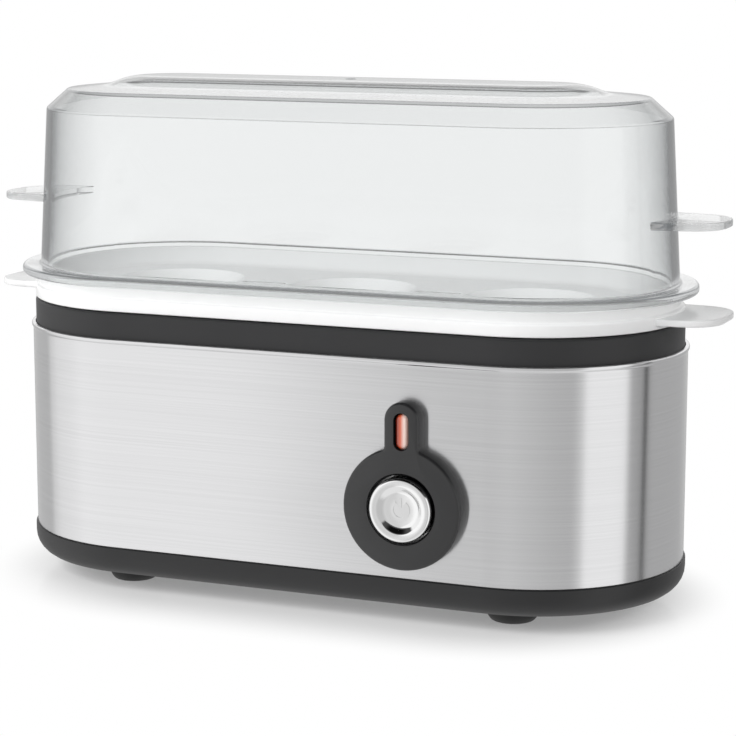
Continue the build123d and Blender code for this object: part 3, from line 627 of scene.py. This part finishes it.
# Rack. White polypropylene, one moulding: a skirt over the housing, a rib that guides the lid, a sunk deck
# with three funnel seats and two steam slots, and a thin finger tab at each end. It has a soft, clean gloss.
SEAT_PITCH = 51.0
STEAM_SLOT_WIDTH = 3.0
STEAM_SLOT_LENGTH = 13.0
TAB_ROOT_X = END_X + 26


def finger_tab(tip_x, root_half, tip_half, corner, low, high):
    """A tapered flat tab along +X with round outer corners and softened edges."""
    reach = [(TAB_ROOT_X, -root_half), (tip_x, -tip_half, corner), (tip_x, tip_half, corner),
             (TAB_ROOT_X, root_half)]

    def spot(corner):
        return Vector((corner[0], corner[1], low))
    tab = outline_piece("tab", reach, spot)
    bpy.ops.object.mode_set(mode="EDIT")
    round_corners(tab, reach, spot, steps=10)
    bpy.ops.mesh.select_all(action="SELECT")
    bpy.ops.mesh.extrude_region_move(TRANSFORM_OT_translate={"value": (0, 0, (high - low) * MM)})
    bpy.ops.mesh.select_all(action="SELECT")
    bpy.ops.mesh.normals_make_consistent(inside=False)
    take(tab.data, lambda v: v.z > high - 0.01)
    bpy.ops.mesh.bevel(offset=0.4 * MM, segments=3, affect="EDGES")
    take(tab.data, lambda v: v.z < low + 0.01)
    bpy.ops.mesh.bevel(offset=0.4 * MM, segments=3, affect="EDGES")
    bpy.ops.object.mode_set(mode="OBJECT")
    return tab


def add_tabs(piece, inner_radius, **sizes):
    """Join a finger tab to each end of a piece, its root cut to the curve of the wall it grows from."""
    for side in (1, -1):
        tab = finger_tab(**sizes)
        root = turned("root", [(0, -200), (inner_radius, -200), (inner_radius, 200), (0, 200)],
                      (END_X, 0, 0), steps=96)
        cut_with(tab, root)
        if side < 0:
            bpy.ops.object.select_all(action="DESELECT")
            tab.select_set(True)
            bpy.context.view_layer.objects.active = tab
            bpy.ops.object.mode_set(mode="EDIT")
            bpy.ops.mesh.select_all(action="SELECT")
            bpy.ops.transform.rotate(value=math.pi, orient_axis="Z", center_override=(0, 0, 0))
            bpy.ops.object.mode_set(mode="OBJECT")
        cut_with(piece, tab, "UNION")


rack = racetrack("rack_moulding", [
    (20.0, 80.4), (12.4, 80.4, 2.0), (6.2, 84.6, 0.4), (4.9, 84.6, 0.4), (4.9, 82.85, 0.3), (2.2, 82.85, 0.5),
    (2.2, 79.9, 0.4), (0.9, 79.6, 0.5), (0.9, 76.4, 0.4), (6.1, 76.4), (6.1, 73.6), (7.7, 73.6), (7.7, 81.2),
    (12.4, 78.8, 1.5), (20.0, 78.8)], middle=(80.4, 78.8))
for x in (-SEAT_PITCH, 0.0, SEAT_PITCH):
    funnel = turned("seat_wall", [
        (0, 80.2), (18.6, 80.2), (18.6, 78.8), (15.4, 76.2, 0.4), (0, 76.2)], (x, 0, 0))
    cut_with(rack, funnel, "UNION")
    hollow = turned("seat_hollow", [
        (0, 81.0), (18.4, 81.0), (17.7, 80.3, 0.5), (13.6, 76.4, 0.3), (13.6, 75.0), (0, 75.0)], (x, 0, 0))
    cut_with(rack, hollow)
for x in (-SEAT_PITCH / 2, SEAT_PITCH / 2):
    cut_slot(rack, (x, 0, 79.6), STEAM_SLOT_WIDTH, STEAM_SLOT_LENGTH, 32)
add_tabs(rack, inner_radius=38.0, tip_x=104.1, root_half=15.5, tip_half=12.5, corner=8.0,
         low=77.4, high=79.2)
white_plastic = surface("white_polypropylene", "#F7F7F7", "#F1F1F1", 0.25, 1.0, 0.01, IOR=1.49)[0]
finish_piece(rack, "rack", "rack_white", white_plastic, "egg_rack")


# Lid. Clear polycarbonate, one moulding: a rolled flange, a drafted wall, a chamfered shoulder, a raised
# crown with a steam vent, and a finger tab at each end. It nearly vanishes where it faces the eye, and a
# painted shade darkens it where it slants away.
CROWN_TOP = 136.6
CROWN_UNDER = 135.5
FLANGE_TOP = 85.45
FLANGE_UNDER = 83.15
lid = racetrack("lid_moulding", [
    (34.0, CROWN_TOP), (27.6, CROWN_TOP, 3.4), (22.2, 134.3, 2.0), (10.8, 133.2, 0.35), (5.0, 128.05, 0.35),
    (2.5, FLANGE_TOP, 0.7), (-2.5, FLANGE_TOP, 1.0), (-2.5, FLANGE_UNDER, 0.6), (4.3, FLANGE_UNDER),
    (6.6, 127.6, 0.3), (11.3, 131.95, 0.3), (22.6, 133.1, 1.6), (28.2, CROWN_UNDER, 3.0),
    (34.0, CROWN_UNDER)], middle=(CROWN_TOP, CROWN_UNDER))
vent = turned("vent_bore", [(0, 132), (1.5, 132), (1.5, 136.3, 0.2), (2.2, 138), (0, 138)], (0, 0, 0),
              steps=32)
cut_with(lid, vent)
add_tabs(lid, inner_radius=35.8, tip_x=103.8, root_half=14.0, tip_half=10.5, corner=8.0,
         low=101.4, high=103.4)

# The painted shade deepens with the slant from the eye, on upright faces from just above the flange.
# These heights and the ones below are in metres, as Object coordinates are.
PAINTED_SHADE_FROM_Z = 0.0856
PAINTED_SHADE_FULL_Z = 0.0870
PAINTED_SLANT_SHADE_TONES = [(0.0, "#FCFDFD"), (0.60, "#CDCFD0"), (0.84, "#94969A"), (0.95, "#1E2022")]
material, tree, output = new_material("clear_polycarbonate")
place = add_node(tree, "ShaderNodeTexCoord")
spot = add_node(tree, "ShaderNodeSeparateXYZ", links=[("Vector", place.outputs["Object"])])
flow = add_node(tree, "ShaderNodeTexNoise", inputs=[("Scale", 30.0), ("Detail", 3.0)],
                links=[("Vector", place.outputs["Object"])])
gloss = add_node(tree, "ShaderNodeMapRange", inputs=[("To Min", 0.0), ("To Max", 0.04)],
                 links=[("Value", flow.outputs["Fac"])])
relief = add_node(tree, "ShaderNodeBump", inputs=[("Strength", 0.02), ("Distance", 0.2 * MM)],
                  links=[("Height", flow.outputs["Fac"])])
slant = add_node(tree, "ShaderNodeLayerWeight")
deepened = add_node(tree, "ShaderNodeMapRange", inputs=[("From Min", 0.2), ("From Max", 1.0)],
                    links=[("Value", slant.outputs["Facing"])])
facing = add_node(tree, "ShaderNodeNewGeometry")
upward = add_node(tree, "ShaderNodeSeparateXYZ", links=[("Vector", facing.outputs["Normal"])])
level = add_node(tree, "ShaderNodeMath", [("operation", "ABSOLUTE")], links=[(0, upward.outputs["Z"])])
upright = add_node(tree, "ShaderNodeMath", [("operation", "SUBTRACT")], inputs=[(0, 1.0)],
                   links=[(1, level.outputs[0])])
slope = add_node(tree, "ShaderNodeMath", [("operation", "MULTIPLY")],
                 links=[(0, deepened.outputs[0]), (1, upright.outputs[0])])
clear_of_rim = add_node(tree, "ShaderNodeMapRange", inputs=[
    ("From Min", PAINTED_SHADE_FROM_Z), ("From Max", PAINTED_SHADE_FULL_Z)], links=[("Value", spot.outputs["Z"])])
share = add_node(tree, "ShaderNodeMath", [("operation", "MULTIPLY")],
                 links=[(0, slope.outputs[0]), (1, clear_of_rim.outputs[0])])
# Painted shade: the colour darkens with the slant from the eye.
painted_slant_shade = add_node(tree, "ShaderNodeValToRGB", links=[("Fac", share.outputs[0])], stops=PAINTED_SLANT_SHADE_TONES)
clear = add_node(tree, "ShaderNodeBsdfPrincipled", inputs=[
    ("Transmission Weight", 1.0), ("IOR", 1.49)], links=[
    ("Base Color", painted_slant_shade.outputs["Color"]), ("Roughness", gloss.outputs[0]), ("Normal", relief.outputs[0])])

# Light that is caught inside the plastic is replaced from its third bounce on by a painted glow, a plain
# tone by height, grey along the wall and lighter at the flange and crown. The render follows only so many
# bounces, and would leave it black.
CAUGHT_AFTER = 2.5
CAUGHT_LOW_Z = 0.083
CAUGHT_HIGH_Z = 0.137
CAUGHT_PAINTED_TONES = [(0.06, "#D8D9DA"), (0.09, "#929496"), (0.93, "#929496"), (0.95, "#E2E3E3")]
rays = add_node(tree, "ShaderNodeLightPath")
caught = add_node(tree, "ShaderNodeMath", [("operation", "GREATER_THAN")], inputs=[(1, CAUGHT_AFTER)],
                  links=[(0, rays.outputs["Glossy Depth"])])
rise = add_node(tree, "ShaderNodeMapRange", inputs=[
    ("From Min", CAUGHT_LOW_Z), ("From Max", CAUGHT_HIGH_Z)], links=[("Value", spot.outputs["Z"])])
painted_caught_tone = add_node(tree, "ShaderNodeValToRGB", links=[("Fac", rise.outputs[0])], stops=CAUGHT_PAINTED_TONES)
# Painted glow: the plastic gives off the caught tone, though it is no lamp.
painted_glow = add_node(tree, "ShaderNodeEmission", links=[("Color", painted_caught_tone.outputs["Color"])])
lit = add_node(tree, "ShaderNodeMixShader", links=[
    (0, caught.outputs[0]), (1, clear.outputs[0]), (2, painted_glow.outputs[0])])

# The thin tabs let part of the view straight through. Light from the lamps passes the lid without bending.
TAB_FROM_X = 0.0895
TAB_FROM_Z = 0.0995
TAB_CLEARNESS = 0.4
sideways = add_node(tree, "ShaderNodeMath", [("operation", "ABSOLUTE")], links=[(0, spot.outputs["X"])])
past_wall = add_node(tree, "ShaderNodeMath", [("operation", "GREATER_THAN")], inputs=[(1, TAB_FROM_X)],
                     links=[(0, sideways.outputs[0])])
above_rim = add_node(tree, "ShaderNodeMath", [("operation", "GREATER_THAN")], inputs=[(1, TAB_FROM_Z)],
                     links=[(0, spot.outputs["Z"])])
on_tab = add_node(tree, "ShaderNodeMath", [("operation", "MULTIPLY")],
                  links=[(0, past_wall.outputs[0]), (1, above_rim.outputs[0])])
thin = add_node(tree, "ShaderNodeMath", [("operation", "MULTIPLY")], inputs=[(1, TAB_CLEARNESS)],
                links=[(0, on_tab.outputs[0])])
see_through = add_node(tree, "ShaderNodeBsdfTransparent")
eased = add_node(tree, "ShaderNodeMixShader", links=[
    (0, thin.outputs[0]), (1, lit.outputs[0]), (2, see_through.outputs[0])])
lamp_way = add_node(tree, "ShaderNodeBsdfTransparent", inputs=[("Color", linear("#E6E7E7"))])
whole = add_node(tree, "ShaderNodeMixShader", links=[
    (0, rays.outputs["Is Shadow Ray"]), (1, eased.outputs[0]), (2, lamp_way.outputs[0])])
tree.links.new(whole.outputs[0], output.inputs["Surface"])
material.cycles.emission_sampling = "NONE"
depth = add_node(tree, "ShaderNodeVolumeAbsorption", inputs=[("Color", linear("#8E9496")), ("Density", 12.0)])
tree.links.new(depth.outputs[0], output.inputs["Volume"])
finish_piece(lid, "lid", "lid_clear", material, "lid")

# The small rounds would bend the shading of the long flat walls, so the large faces settle it.
flat_walls = lid.modifiers.new("flat_walls", "WEIGHTED_NORMAL")
flat_walls.keep_sharp = True
bpy.ops.object.modifier_apply(modifier=flat_walls.name)


# Heater. A mica card wound with ribbon lies under an aluminium spreader plate, and a plated steel plate and
# two screws clamp both to the housing's bosses. A phenolic thermostat and a fuse in a woven sleeve watch it.
# The metals are bright and grainy, the mica flaky and tan, and the sleeve pale and rough.
def dress(material, *names):
    """Give CAD nodes that keep their own shape a finished material."""
    for name in names:
        for place in nodes[name].material_slots:
            place.material = material


dress(surface("rolled_aluminium", "#D2D3D4", "#BFC0C2", 0.35, 0.8, 0.01, Metallic=1.0)[0], "heater_plate")
dress(surface("pressed_mica_card", "#B9A98C", "#9C8A6A", 0.55, 1.5, 0.03)[0], "mica_heater")
zinc = surface("zinc_plated_steel", "#C9CCCE", "#AEB2B5", 0.32, 0.6, 0.01, Metallic=1.0)[0]
dress(zinc, "clamp_plate", "clamp_screws", "housing_screws", "switch_bracket")
dress(surface("pressed_phenolic", "#3A2A22", "#2C1F19", 0.45, 0.7, 0.02)[0], "thermostat")
dress(surface("woven_glass_sleeve", "#E6E1D2", "#CFC8B4", 0.7, 0.4, 0.04)[0], "thermal_fuse")


# Switch and lamp. A black nylon push switch on a plated bracket behind the button, its white plunger, and a
# neon bulb in an acetal holder behind the lens. The nylon is dull, the acetal waxy and the bulb glossy.
dress(surface("glass_filled_nylon_black", "#222224", "#191919", 0.5, 0.4, 0.02)[0], "switch_body")
dress(surface("natural_acetal", "#F0EFEA", "#E6E4DC", 0.35, 0.9, 0.01)[0], "button_plunger", "lamp_holder")
dress(surface("neon_bulb_glass", "#F0B48C", "#D98A5C", 0.08, 2.0, 0.005)[0], "neon_lamp")


# Wiring. Silicone leads in the usual colours run from a white nylon terminal block to the switch, the heater,
# the fuse and the earth point. Silicone has a soft, slightly dusty look.
dress(surface("natural_nylon", "#ECEAE2", "#DDDACD", 0.4, 0.8, 0.01)[0], "terminal_block")
brown_silicone = surface("brown_silicone", "#6A3B22", "#54301C", 0.5, 0.5, 0.02)[0]
dress(brown_silicone, "live_lead", "switch_lead", "fuse_lead")
dress(surface("blue_silicone", "#2F5FA8", "#264E8C", 0.5, 0.5, 0.02)[0], "neutral_lead")
dress(surface("green_yellow_silicone", "#B7C43A", "#5E9A3C", 0.5, 0.5, 0.02)[0], "earth_lead")
